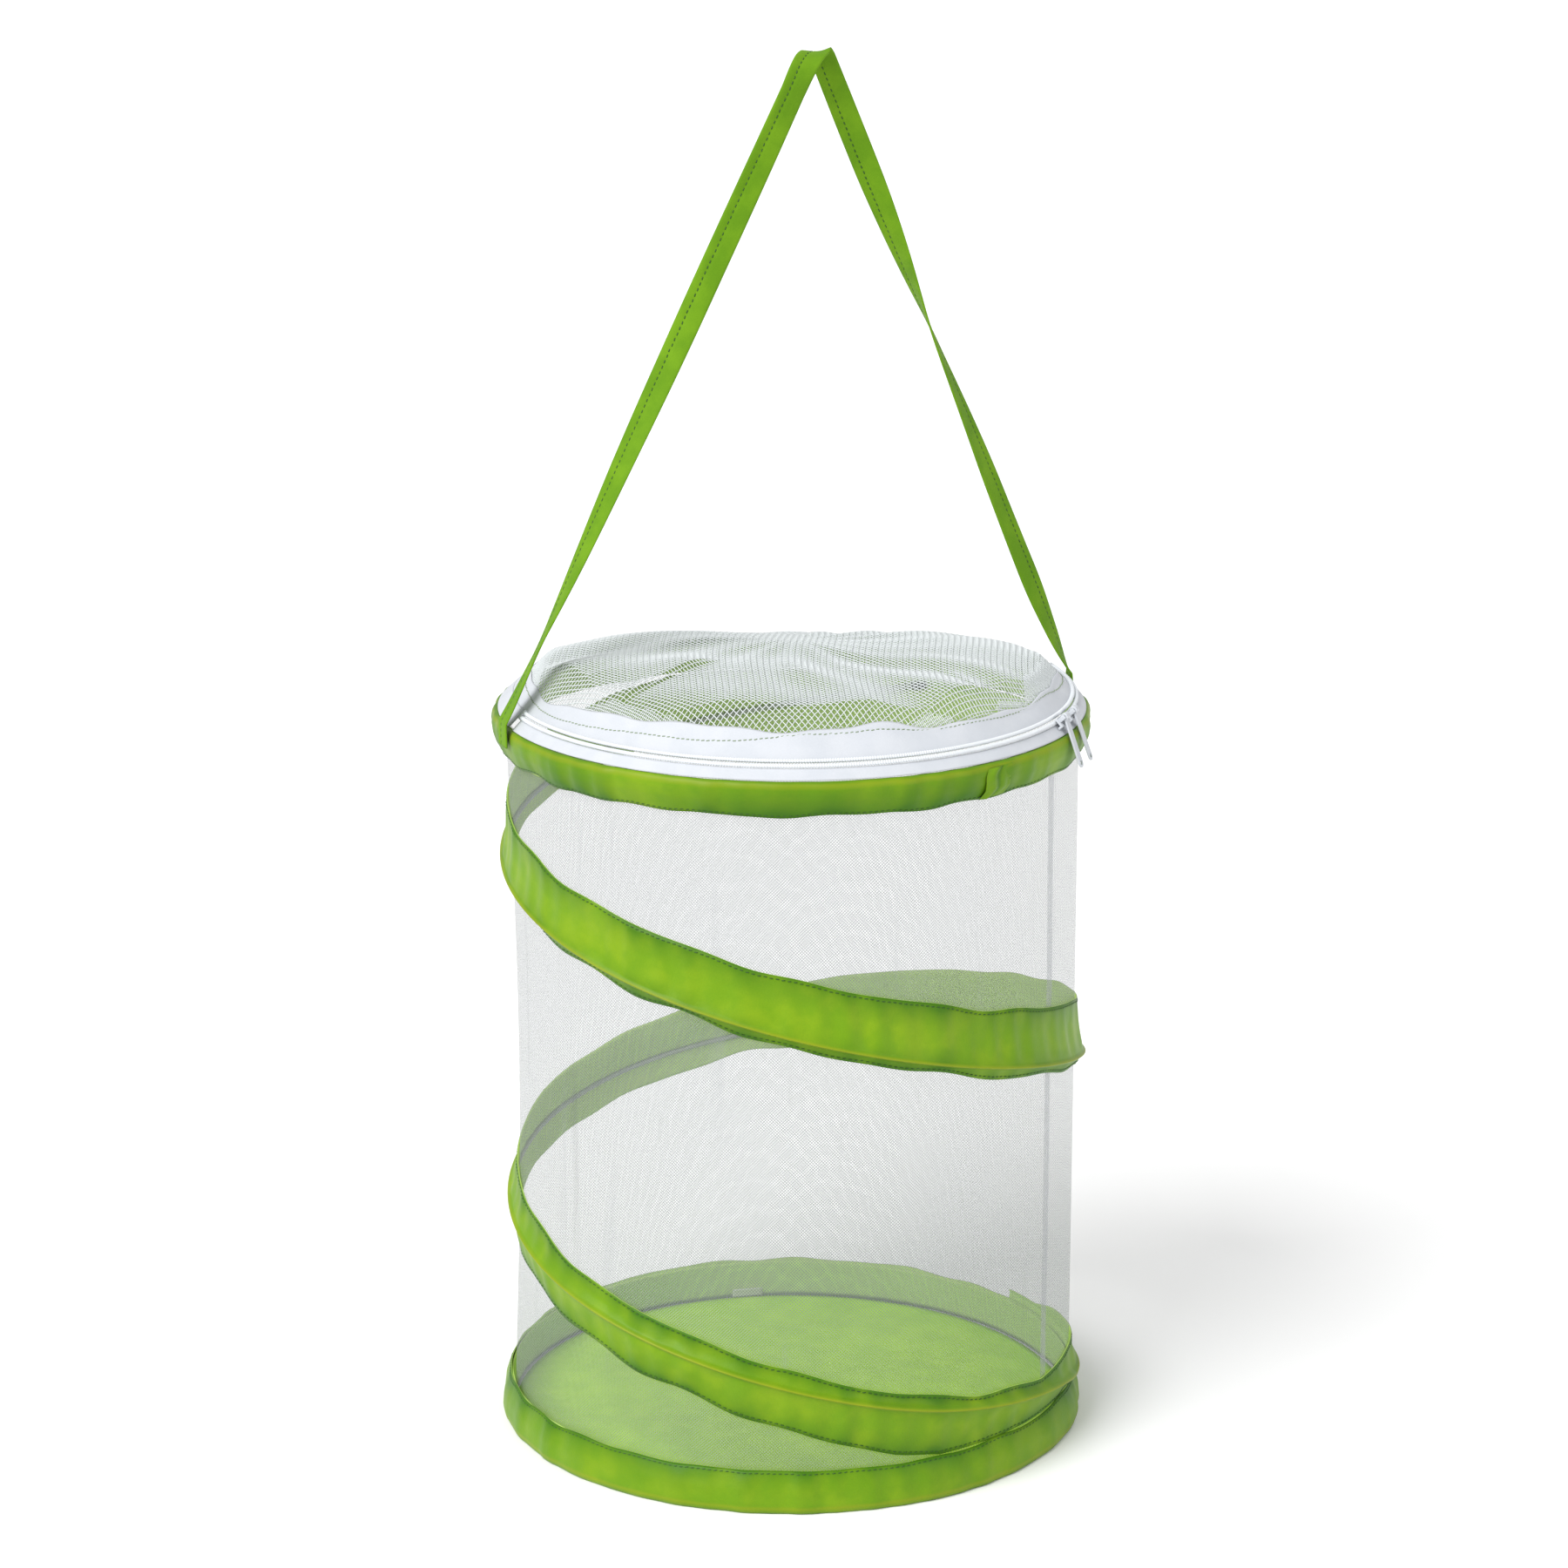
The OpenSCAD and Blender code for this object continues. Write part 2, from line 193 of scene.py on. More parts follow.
def unit(v):
    """Vectors scaled to a length of 1."""
    return v / np.linalg.norm(v, axis=-1, keepdims=True)


def stitches(name, path, out, material, size=(2.2, 0.55, 0.5), pitch=3.0, wander=0.08, seed=1, loop=False):
    """Stitches along a path in mm, lying on a surface that faces out. They wander off it by that much."""
    if loop:
        path = np.concatenate([path, path[:1]])
        out = np.concatenate([out, out[:1]])
    run = np.concatenate([[0], np.cumsum(np.linalg.norm(np.diff(path, axis=0), axis=1))])
    at = np.arange(pitch / 2, run[-1] - pitch / 4, pitch)
    r = np.random.default_rng(seed)
    c = np.stack([np.interp(at, run, path[:, k]) for k in range(3)], -1)
    ahead = np.stack([np.interp(at + 0.5, run, path[:, k]) for k in range(3)], -1)
    n = unit(np.stack([np.interp(at, run, out[:, k]) for k in range(3)], -1))
    t = unit(ahead - c + 1e-9)
    w = unit(np.cross(n, t))
    lean = r.normal(0.12, 0.06, len(c))[:, None]
    aside = (r.normal(0, 1, len(c)) * wander)[:, None]
    return boxes(name, c + w * aside, unit(t + w * lean), w, n, size, material)


def join(name, objects):
    """Joins objects into the first one, and gives it a name."""
    b = bmesh.new()
    materials = []
    for o in objects:
        start = len(b.faces)
        b.from_mesh(o.data)
        b.faces.ensure_lookup_table()
        m = o.data.materials[0]
        if m not in materials:
            materials.append(m)
        for f in b.faces[start:]:
            f.material_index = materials.index(m)
    mesh = bpy.data.meshes.new(name)
    b.to_mesh(mesh)
    b.free()
    for o in objects:
        bpy.data.objects.remove(o)
    for m in materials:
        mesh.materials.append(m)
    o = bpy.data.objects.new(name, mesh)
    bpy.context.scene.collection.objects.link(o)
    return o


# ---- materials ----


def srgb(r, g, b):
    """A colour given as 0 to 255, in linear light."""
    def channel(v):
        v /= 255
        return v / 12.92 if v <= 0.04045 else ((v + 0.055) / 1.055) ** 2.4

    return (channel(r), channel(g), channel(b), 1)


class Shader:
    """A node material with its main shader, and short ways to add nodes."""

    def __init__(self, name, colour, rough, **sockets):
        self.material = bpy.data.materials.new(name)
        self.material.use_nodes = True
        self.nodes = self.material.node_tree.nodes
        self.links = self.material.node_tree.links
        self.main = self.nodes["Principled BSDF"]
        self.main.inputs["Base Color"].default_value = colour
        self.main.inputs["Roughness"].default_value = rough
        for socket, value in sockets.items():
            self.main.inputs[socket.replace("_", " ")].default_value = value

    def add(self, kind, *inputs, **settings):
        n = self.nodes.new(kind)
        for key, value in settings.items():
            setattr(n, key, value)
        for k, value in enumerate(inputs):
            self.put(value, n.inputs[k])
        return n

    def put(self, value, socket):
        if value is None:
            return
        if isinstance(value, bpy.types.NodeSocket):
            self.links.new(value, socket)
        else:
            socket.default_value = value

    def maths(self, operation, *values, clamp=False):
        return self.add("ShaderNodeMath", *values, operation=operation, use_clamp=clamp).outputs[0]

    def place(self):
        return self.add("ShaderNodeTexCoord").outputs["Object"]

    def uv(self):
        split = self.add("ShaderNodeSeparateXYZ", self.add("ShaderNodeUVMap", uv_map="cloth").outputs[0])
        return split.outputs[0], split.outputs[1]

    def noise(self, scale, detail=2.0, rough=0.5, stretch=None):
        where = self.place()
        if stretch:
            where = self.add("ShaderNodeMapping", where, None, None, stretch).outputs[0]
        n = self.add("ShaderNodeTexNoise")
        self.put(where, n.inputs["Vector"])
        n.inputs["Scale"].default_value = scale
        n.inputs["Detail"].default_value = detail
        n.inputs["Roughness"].default_value = rough
        return n.outputs["Fac"]

    def spread(self, value, low, high, to_low=0.0, to_high=1.0):
        n = self.add("ShaderNodeMapRange", value, low, high, to_low, to_high)
        n.interpolation_type = "SMOOTHSTEP"
        return n.outputs[0]

    def mix(self, share, a, b):
        m = self.add("ShaderNodeMix", data_type="RGBA")
        self.put(share, m.inputs["Factor"])
        self.put(a, m.inputs[6])
        self.put(b, m.inputs[7])
        return m.outputs[2]

    def colour(self, socket):
        self.links.new(socket, self.main.inputs["Base Color"])

    def relief(self, height, depth, strength=0.6):
        b = self.add("ShaderNodeBump")
        b.inputs["Strength"].default_value = strength
        b.inputs["Distance"].default_value = depth * MM
        self.links.new(height, b.inputs["Height"])
        self.links.new(b.outputs[0], self.main.inputs["Normal"])


def cloth(name, light, dark, rough=0.75, grain=0.12, fine=1200, sheen=0.03, **tones):
    """Woven cloth: two tones in soft patches, and a fine weave.

    Each further tone is mixed in by the piece's attribute of the same name. One is painted shade along sewn
    edges and in folds; inside is painted light, a pale tone for light shining through the thin cloth onto
    its inner face;
    and ridge is for cloth rubbed thin over a wire.
    """
    s = Shader(name, light, rough)
    s.main.inputs["Specular IOR Level"].default_value = 0.18
    s.main.inputs["Sheen Weight"].default_value = sheen
    s.main.inputs["Sheen Roughness"].default_value = 0.5
    patches = s.spread(s.noise(60, 3), 0.35, 0.68)
    weave = s.noise(fine, 1)
    share = s.maths("ADD", s.maths("MULTIPLY", patches, 0.65), s.maths("MULTIPLY", weave, 0.35))
    tone = s.mix(share, dark, light)
    for attribute, other in tones.items():
        share = s.add("ShaderNodeAttribute", attribute_name=attribute).outputs["Fac"]
        tone = s.mix(share, tone, other)
    s.colour(tone)
    s.relief(s.maths("ADD", weave, s.maths("MULTIPLY", s.noise(180, 2), 1.5)), grain)
    return s.material


def net(name, colour, pitch, thread, rough=0.85):
    """Knitted net with diamond holes, cut out along the piece's own cloth map, which is in mm."""
    s = Shader(name, colour, rough)
    u, v = s.uv()
    lines = []
    for sign in (1, -1):
        shift = s.maths("MULTIPLY", s.maths("SUBTRACT", s.noise(70 + 20 * sign, 1), 0.5), pitch * 0.9)
        across = s.maths("ADD", s.maths("MULTIPLY", v, sign), s.maths("ADD", u, shift))
        turn = s.maths("FRACT", s.maths("DIVIDE", across, pitch))
        away = s.maths("ABSOLUTE", s.maths("SUBTRACT", turn, 0.5))
        lines.append(s.spread(away, 0.5 - thread, 0.5))
    # the threads are a little fuzzy, and slack pleats run up the net
    knit = s.maths("MULTIPLY_ADD", s.maths("MAXIMUM", *lines), 0.54, 0.11)
    pleats = s.spread(s.noise(1, 2, stretch=(75, 75, 5)), 0.58, 0.76, 0, 0.3)
    cover = s.maths("MAXIMUM", knit, pleats)
    s.links.new(cover, s.main.inputs["Alpha"])
    tint = s.mix(s.noise(25, 2), colour, tuple(0.9 * c for c in colour[:3]) + (1,))
    s.colour(tint)
    return s.material


def plain(name, colour, rough, patch=0.06, scale=200, depth=0.03, **sockets):
    """A moulded, drawn or coated piece: nearly even colour, with faint mottling and relief."""
    s = Shader(name, colour, rough, **sockets)
    dark = tuple((1 - patch) ** 2 * c for c in colour[:3]) + (1,)
    s.colour(s.mix(s.noise(scale, 3), colour, dark))
    s.relief(s.noise(scale * 4, 2), depth, 0.4)
    return s.material


# the darkest tone is painted shade, laid along sewn edges and in folds where the tape is in shade
# the palest tone, inside, is painted light: it stands in for light shining through the thin cloth onto its
# inner faces
GREEN = cloth(
    "green_tape", srgb(126, 157, 14), srgb(100, 142, 6), rough=0.45,
    hem=srgb(58, 104, 2), inside=srgb(198, 232, 118), ridge=srgb(138, 146, 22),
)
GREEN_FLOOR = cloth("green_floor", srgb(164, 208, 38), srgb(148, 194, 26), grain=0.2, fine=700)
WEBBING = cloth("strap_webbing", srgb(104, 146, 14), srgb(84, 128, 6), grain=0.1, fine=1500)
THREAD = plain("green_thread", srgb(40, 80, 4), 0.6)
THREAD_GREY = plain("grey_thread", srgb(128, 146, 112), 0.7)
WALL_NET = net("wall_net", srgb(150, 154, 157), 1.65, 0.205)
LID_NET = plain("lid_net", srgb(200, 205, 206), 0.8, patch=0.03)
WHITE = cloth("white_tape", srgb(192, 195, 200), srgb(184, 188, 194), grain=0.15, fine=900, sheen=0.15)
SEAM = net("side_seam_net", srgb(192, 196, 200), 1.65, 0.15)
COIL = plain("zipper_coil", srgb(214, 218, 222), 0.45)
PLASTIC = plain("zipper_slider", srgb(194, 198, 204), 0.35)
LABEL = plain("label", srgb(204, 204, 204), 0.6)
WIRE = plain("spring_wire", srgb(184, 192, 174), 0.4, Metallic=0.4)
FERRULE = plain("ferrule", srgb(168, 168, 164), 0.4, Metallic=1.0)
CAP = plain("wire_cap", srgb(44, 44, 44), 0.5)


def finish_piece(o, body=None, blend=None, squash=None, replaces=()):
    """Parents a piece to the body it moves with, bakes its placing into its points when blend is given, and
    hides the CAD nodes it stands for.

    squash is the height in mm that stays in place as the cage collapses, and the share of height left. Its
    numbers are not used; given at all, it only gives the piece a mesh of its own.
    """
    if body:
        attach(o, body)
    if blend:
        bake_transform(o)
    if squash:
        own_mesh(o)
    if replaces:
        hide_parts(*replaces)
    return o


TOP_SQUASH = (CAGE_H, 0.5)
BOTTOM_SQUASH = (0, 0.5)
WALL_SQUASH = (0, 0.0765)
SPIRAL_SQUASH = (11, 0.0242)


# ---- sleeves on the two hoops ----


def painted_shade_from_edge(distance, wave, least=0.0):
    """Painted shade: how dark the cloth is painted at a distance in mm from its sewn edge, in soft gathered
    patches along it, for the shade along stitched edges.
    """
    reach = np.interp(distance, [0, 1.2, 3, 7, 14], [1, 0.85, 0.55, 0.26, 0])
    return np.clip((least + (1 - least) * reach) * (1 + 0.35 * wave[:, None]), 0, 1)


def profile_ring(name, outer, inner, seed, pucker, ridge, least, steps=480, rows=30, back_rows=12):
    """A sleeve round the cage, and the grid of points on its outer face.

    outer and inner run from the sewn edge to the other end, as (radius, height). ridge is how far from the
    sewn edge the wire shows, and least is how much painted shade the cloth keeps away from that edge.
    """
    az = np.linspace(0, 360, steps, endpoint=False)
    a = np.radians(az)

    def dense(line, n):
        line = np.array(line, float)
        run = np.concatenate([[0], np.cumsum(np.linalg.norm(np.diff(line, axis=0), axis=1))])
        at = np.linspace(0, run[-1], n)
        return np.stack([np.interp(at, run, line[:, 0]), np.interp(at, run, line[:, 1])], -1), at / run[-1]

    out, share = dense(outer, rows)
    length = np.linalg.norm(np.diff(np.array(outer), axis=0), axis=1).sum()
    back, back_share = dense(inner, back_rows)
    # puckers are strongest a little way from the sewn edge, and die out at the wire
    strength = np.interp(share, [0, 0.12, 0.35, 0.6, 1], [0.25, 1, 0.8, 0.25, 0])
    wave = ripple(a, 24, 75, seed) * 0.6 + ripple(a, 6, 16, seed + 1) * 0.5
    slow = ripple(a, 3, 9, seed + 2)
    r = out[None, :, 0] + pucker * strength * np.clip(wave[:, None] + 0.25 * slow[:, None], -1.2, 1.2)
    edge = np.interp(share, [0, 0.4], [1, 0]) * 0.38 * ripple(a, 8, 30, seed + 3)[:, None]
    z = out[None, :, 1] + edge
    front = polar(np.maximum(r, out[None, :, 0] - 0.45), az[:, None], z)
    back_edge = np.interp(back_share, [0.8, 1], [0, 1]) * edge[:, :1]
    rear = polar(back[None, :, 0], az[:, None], back[None, :, 1] + back_edge)
    o = surface(name, np.concatenate([front, rear], 1), GREEN, loop_u=True, loop_v=True)
    from_edge = share * length
    # painted shade: darker towards the sewn edge, and by least over the whole band, for the shade along the
    # stitched edge and on the band's shaded half
    sewn = painted_shade_from_edge(from_edge, 0.5 * wave + 0.6 * slow, least)
    over_wire = 0.6 * bump((from_edge - ridge) / 1.6)
    mark(o, "hem", np.concatenate([sewn, np.zeros((steps, back_rows))], 1))
    # inside is painted light: a pale tone on the sleeve's inner part, for light shining through the thin
    # cloth
    mark(o, "inside", np.tile(np.concatenate([from_edge > ridge + 8, np.ones(back_rows)]), steps))
    mark(o, "ridge", np.tile(np.concatenate([over_wire, np.zeros(back_rows)]), steps))
    return o, front


low = CAGE_H - TOP_BAND
top_outer = [
    (147.6, low), (149.3, CAGE_H - 14.6), (151.2, CAGE_H - 9.6), (151.9, CAGE_H - 5),
    (151.5, CAGE_H - 2.1), (150.3, CAGE_H - 0.3), (149, CAGE_H), (147.5, CAGE_H - 0.4),
    (146.6, CAGE_H - 1.8), (146.6, low + 0.5),
]
top_inner = [
    (147, low + 1.5), (147, CAGE_H - 2.3), (147.8, CAGE_H - 1.1), (149, CAGE_H - 0.7), (150, CAGE_H - 1),
    (150.8, CAGE_H - 2.5), (151.2, CAGE_H - 5), (150.6, CAGE_H - 9.2), (148.8, CAGE_H - 14),
    (147.1, low + 0.3),
]
top_sleeve, top_face = profile_ring(
    "top_sleeve_cloth", top_outer, top_inner, seed=11, pucker=0.75, ridge=17, least=0.42,
)
finish_piece(top_sleeve, "top", squash=TOP_SQUASH, replaces=["top_sleeve"])

bottom_outer = [
    (147.6, BOTTOM_BAND), (149.2, 18), (151.1, 12), (151.8, 4.6), (151.5, 1.8), (150.3, 0.05),
    (147.5, 0.05), (146.5, 1.2), (146.5, 21),
]
bottom_inner = [
    (147, 20), (147, 1.6), (147.8, 0.7), (150, 0.7), (150.9, 2.2), (151.1, 4.6), (150.4, 11.8),
    (148.6, 17.6), (147.1, 21.7),
]
bottom_sleeve, bottom_face = profile_ring(
    "bottom_sleeve_cloth", bottom_outer, bottom_inner, seed=23, pucker=0.7, ridge=20, least=0.24,
)
finish_piece(bottom_sleeve, "base", squash=BOTTOM_SQUASH, replaces=["bottom_sleeve"])


def ring_stitches(name, face, height, seed):
    """Stitches round the outside of a sleeve, at about one height."""
    outside = face[:, :12, 2]
    k = np.argmin(np.abs(outside.mean(0) - height))
    path = face[:, k]
    out = unit(path * [1, 1, 0])
    return stitches(name, path + out * 0.05, out, THREAD, seed=seed, loop=True)


top_thread = ring_stitches("top_band_stitches", top_face, low + 1.6, 3)
finish_piece(top_thread, "top", squash=TOP_SQUASH)
bottom_thread = ring_stitches("bottom_band_stitches", bottom_face, BOTTOM_BAND - 1.6, 4)
finish_piece(bottom_thread, "base", squash=BOTTOM_SQUASH)

# the tape's overlapping ends: a gathered fold standing off the band, pinched in the middle
fold_az = np.linspace(-51.5, -45.5, 31)
across = np.linspace(0, 1, 21)
fold_r = np.interp(across, [0, 0.3, 0.6, 1], [148.4, 151, 152, 151.6])
fold_z = np.interp(across, [0, 1], [low + 0.4, CAGE_H - 2.0])
t = (fold_az - fold_az.mean()) / 3  # -1 to 1 along the band
waist = 0.45 + 0.55 * np.abs(across - 0.45) / 0.55
main_pleat = 1.5 * bump((t[:, None] + 0.45) / 0.5) * waist
side_pleat = 1.1 * bump((t[:, None] - 0.35) / 0.45) * (1.1 - waist)
slant = (across - 0.5) * 2.4 + 0.7 * np.sin(across * 6)
fold_az = fold_az[:, None] + slant * (1 - np.abs(t)[:, None] * 0.3)
fold_z = fold_z + 0.3 * t[:, None]
front = polar(fold_r + 0.2 + main_pleat + side_pleat, fold_az, fold_z)
rear = polar(fold_r - 0.2, fold_az, fold_z)
fold = surface("tape_overlap_fold", skin(front, rear), GREEN, loop_v=True, caps=True)
# painted shade in the fold, darkest at its pinch
mark(fold, "hem", np.repeat(0.35 + 0.45 * bump((t + 0.05) / 0.3), 2 * len(across)))
finish_piece(fold, "top", squash=TOP_SQUASH, replaces=["sleeve_overlap_fold"])


# ---- spiral ----


def spiral_z(az):
    """Height of the wire: an even fall, tilted a little down to the right, as the cage hangs."""
    tilt = smooth((az - SPIRAL_FROM) / 60) * (1 - smooth((az - 640) / 62))
    return 295 - 0.509 * (az - 180) - 8.5 * tilt * np.cos(np.radians(az))


def lean(points):
    """The upright wall draws in between the hoops, most on its left."""
    s = np.sin(np.pi * np.clip(points[..., 2] / CAGE_H, 0, 1))
    points = points.copy()
    points[..., 0] += s * (2.4 - 0.016 * points[..., 0])
    return points


def tape_ends(az):
    """Heights of the spiral tape's lower and upper edges."""
    above = np.interp(az, [400, 540, 587, 630, 650], [29.5, 19, 12, 9, 6.5])
    width = np.interp(az, [500, 590, 680], [35.5, 31, 33]) * smooth((az - SPIRAL_FROM + 36) / 34)
    # past the wire the tape runs on round the bottom sleeve and tapers away
    free = np.where(az < 690, spiral_z(az) + above, np.interp(az, [690, 716, 756], [41, 41.5, 24]))
    top = np.minimum(free + 0.6 * ripple(np.radians(az), 7, 24, 31), low - 0.5)
    under = top - width + 0.6 * ripple(np.radians(az), 7, 24, 32)
    return np.maximum(under, BOTTOM_BAND + 0.5), top


def spiral_cloth():
    """The tape over the spiral wire, and the paths of the stitches along its two edges."""
    az = np.linspace(SPIRAL_FROM - 33, SPIRAL_TO + 50, 1240)
    under, top = tape_ends(az)
    mid = np.clip(spiral_z(az), BOTTOM_BAND + 4, low - 5.5)
    down = np.maximum(mid - under, 1.5)[:, None]
    up = np.maximum(top - mid, 1.5)[:, None]
    t = np.concatenate([np.linspace(-1, 0, 14), np.linspace(0, 1, 16)[1:]])
    crowd = 1.6  # draws the grid's lines together at the wire
    d = np.where(t < 0, -down, up) * np.abs(t) ** crowd
    from_edge = np.minimum(d + down, up - d)
    # height off the net: flat at both sewn edges, flaring out to the wire, tight over it
    at_cap = bump((az - SPIRAL_FROM) / 8) + bump((az - SPIRAL_TO) / 8)
    over = 4.95 * np.exp(-((d / (1.9 + 1.5 * at_cap[:, None])) ** 2))
    wired = smooth((az - SPIRAL_FROM + 24) / 18) * (1 - smooth((az - SPIRAL_TO - 6) / 18))
    over = over * wired[:, None]
    under_wire = (1 - np.clip(-d / down, 0, 1)) ** 1.2
    over_wire = (1 - np.clip(d / up, 0, 1)) ** 2.3
    flare = (0.9 + 3.0 * wired[:, None]) * np.where(d < 0, under_wire, over_wire)
    a = np.radians(az)[:, None]
    edge = np.clip(from_edge / 7, 0, 1)
    wave = 0.55 * ripple(a, 22, 70, 41) + 0.45 * ripple(a, 7, 20, 42)
    folds = wave + 0.3 * ripple(a + t * 0.12, 9, 24, 43)
    away = 1 - np.exp(-((d / 3.5) ** 2))
    puckers = np.clip(folds, -1.2, 1.4) * 0.75 * np.sin(np.pi * (0.1 + 0.9 * edge) / 2) * away
    lift = np.clip(np.maximum(over, flare) + puckers, 0.05, 5.0)
    z = mid[:, None] + d
    front = lean(polar(NET_R + 1.0 + lift, az[:, None], z))
    rear = lean(polar(NET_R + 0.35 + np.maximum(lift - 0.15, 0), az[:, None], z))
    o = surface("spiral_sleeve_cloth", skin(front, rear), GREEN, loop_v=True, caps=True)
    none = np.zeros((len(az), len(t)))
    # painted shade along the tape's two sewn edges
    mark(o, "hem", np.concatenate([painted_shade_from_edge(from_edge, wave[:, 0], 0.1), none], 1))
    # inside is painted light on the rear face, for light shining through the thin cloth
    mark(o, "inside", np.concatenate([none, none + 1], 1))
    mark(o, "ridge", np.concatenate([0.7 * bump(d / 1.3), none], 1))
    stitched = []
    inset = 1.6  # of the stitches, from the edge
    for share in (inset / down - 1, 1 - inset / up):
        at = np.sign(share) * np.abs(share) ** (1 / crowd)
        lift_at = np.array([np.interp(x, t, row) for x, row in zip(at[:, 0], lift)])
        height = mid + np.where(share < 0, share * down, share * up)[:, 0]
        stitched.append(lean(polar(NET_R + 1.1 + lift_at, az, height)))
    return o, stitched, az


spiral_sleeve, (lower_seam, upper_seam), spiral_az = spiral_cloth()
finish_piece(spiral_sleeve, "base", squash=SPIRAL_SQUASH, replaces=["spiral_sleeve"])
out = polar(1, spiral_az, 0)
spiral_thread = join("spiral_stitches", [
    stitches("lower", lower_seam, out, THREAD, seed=5),
    stitches("upper", upper_seam, out, THREAD, seed=6),
])
finish_piece(spiral_thread, "base", squash=SPIRAL_SQUASH)
az = np.linspace(SPIRAL_FROM, SPIRAL_TO, 360)
wire = tube("spiral_wire_drawn", lean(polar(SPIRAL_R, az, spiral_z(az))), 1.25, WIRE, sides=12)
finish_piece(wire, "base", squash=SPIRAL_SQUASH, replaces=["spiral_wire"])
cap_az = np.array([-2.3, -2.2, -1.2, 0, 0.4, 0.6, 0.62])
cap_radii = [1.4, 1.85, 1.95, 1.95, 1.8, 1.2, 0.3]
for name, end, way in (("upper", SPIRAL_FROM, -1), ("lower", SPIRAL_TO, 1)):
    az = end + way * cap_az
    path = lean(polar(SPIRAL_R, az, spiral_z(az)))
    cap = tube("spiral_cap_" + name + "_moulded", path, cap_radii, CAP, sides=20)
    finish_piece(cap, "base", squash=SPIRAL_SQUASH, replaces=["spiral_cap_" + name])


# ---- net wall and floor ----


NET_DEGREE = math.radians(1) * NET_R  # mm of net in one degree


def wall():
    """The net cylinder, with its cloth map in mm."""
    az = np.linspace(0, 360, 361)[:-1]
    z = np.linspace(0.4, CAGE_H - 1, 90)
    sag = 0.22 * ripple(np.radians(az)[:, None], 5, 18, 51) * np.sin(np.pi * z / CAGE_H) - 0.1
    points = lean(polar(NET_R - 0.3 + np.clip(sag, -0.6, 0.1), az[:, None], z))
    u = np.append(az, 360)[:, None] * NET_DEGREE
    uv = np.stack(np.broadcast_arrays(u, z[None]), -1)
    return surface("wall_net_cloth", points, WALL_NET, uv=uv, loop_u=True)


wall_net = wall()
finish_piece(wall_net, "base", squash=WALL_SQUASH, replaces=["net_wall"])

# the net's ends lap in one upright seam
az = np.linspace(-28.8, -26.4, 7)
z = np.linspace(1.2, CAGE_H - 1.6, 120)
r = NET_R - 0.75 - 0.25 * bump((az - az.mean()) / 1.4)[:, None] + 0.1 * ripple(z / 60, 1, 6, 61)[None]
front = lean(polar(r, az[:, None], z))
rear = lean(polar(r - 0.35, az[:, None], z))
u = (az * NET_DEGREE)[:, None]
uv = np.stack(np.broadcast_arrays(u, np.concatenate([z, z[::-1], z[:1]])[None]), -1)
seam = surface("side_seam_lap", skin(front, rear), SEAM, uv=uv, loop_v=True)
finish_piece(seam, "base", squash=WALL_SQUASH, replaces=["wall_side_seam"])


def floor_cloth():
    """The floor, in soft folds that die out at its sewn edge."""
    az = np.linspace(0, 360, 241)[:-1]
    radius = np.concatenate([[0.03], np.linspace(4, 144.8, 40)])
    a = np.radians(az)[:, None]
    x, y = radius * np.cos(a), radius * np.sin(a)
    folds = ripple(x / 38 + 0.3 * ripple(y / 60, 1, 3, 71), 1, 4, 72) + ripple(y / 44, 1, 4, 73)
    rise = 1.1 + 0.75 * np.clip(folds, -1.3, 1.6) * smooth((145 - radius) / 45)
    top = polar(radius, az[:, None], rise)
    under = polar(radius, az[:, None], rise - 0.6)
    under[..., 2] = np.maximum(under[..., 2], 0.06)
    return surface("floor_cloth", skin(top, under), GREEN_FLOOR, loop_u=True, loop_v=True)


floor_sheet = floor_cloth()
finish_piece(floor_sheet, "base", replaces=["floor_panel"])

# a blank label stands up inside, at the back
az = np.linspace(96.3, 103, 9)
z = np.linspace(1.2, 6.4, 6)
r = NET_R - 1.4 - 1.6 * (z / 6.4)[None] ** 2 - 0.3 * np.sin(np.radians(az * 40))[:, None]
front, rear = polar(r, az[:, None], z), polar(r + 0.3, az[:, None], z)
label = surface("blank_label", skin(front, rear), LABEL, loop_v=True, caps=True)
finish_piece(label, "base", replaces=["care_label"])


# ---- lid ----


def rise(y):
    """Share of its full height that the lid has at y: all in front, a fifth at the rear."""
    return 1 - 0.8 * smooth((y + 10) / 160)


def stitch_radius(az):
    """The lid's stitch line wanders a few mm on the tape."""
    a = np.radians(az)
    return 134.9 + 2.2 * np.sin(2.2 * a + 0.9) + 1.0 * np.sin(7 * a + 1) - 2.4 * bump((az + 88) / 26)


def hem_edge(az):
    """Radius of the white tape's inner edge, a little inside its stitch line."""
    a = np.radians(az)
    return stitch_radius(az) - 3.6 + 0.8 * np.sin(11 * a) + 0.5 * np.sin(23 * a + 1)


def openness(az):
    """1 where the net stands up facing outwards behind the tape, 0 where it lies back at once."""
    lobes = [(-88, 38, 1.8), (-46, 14, 1.0), (-154, 20, 1.2), (-30, 10, 0.5)]
    return sum(share * bump((az - middle) / half) for middle, half, share in lobes)


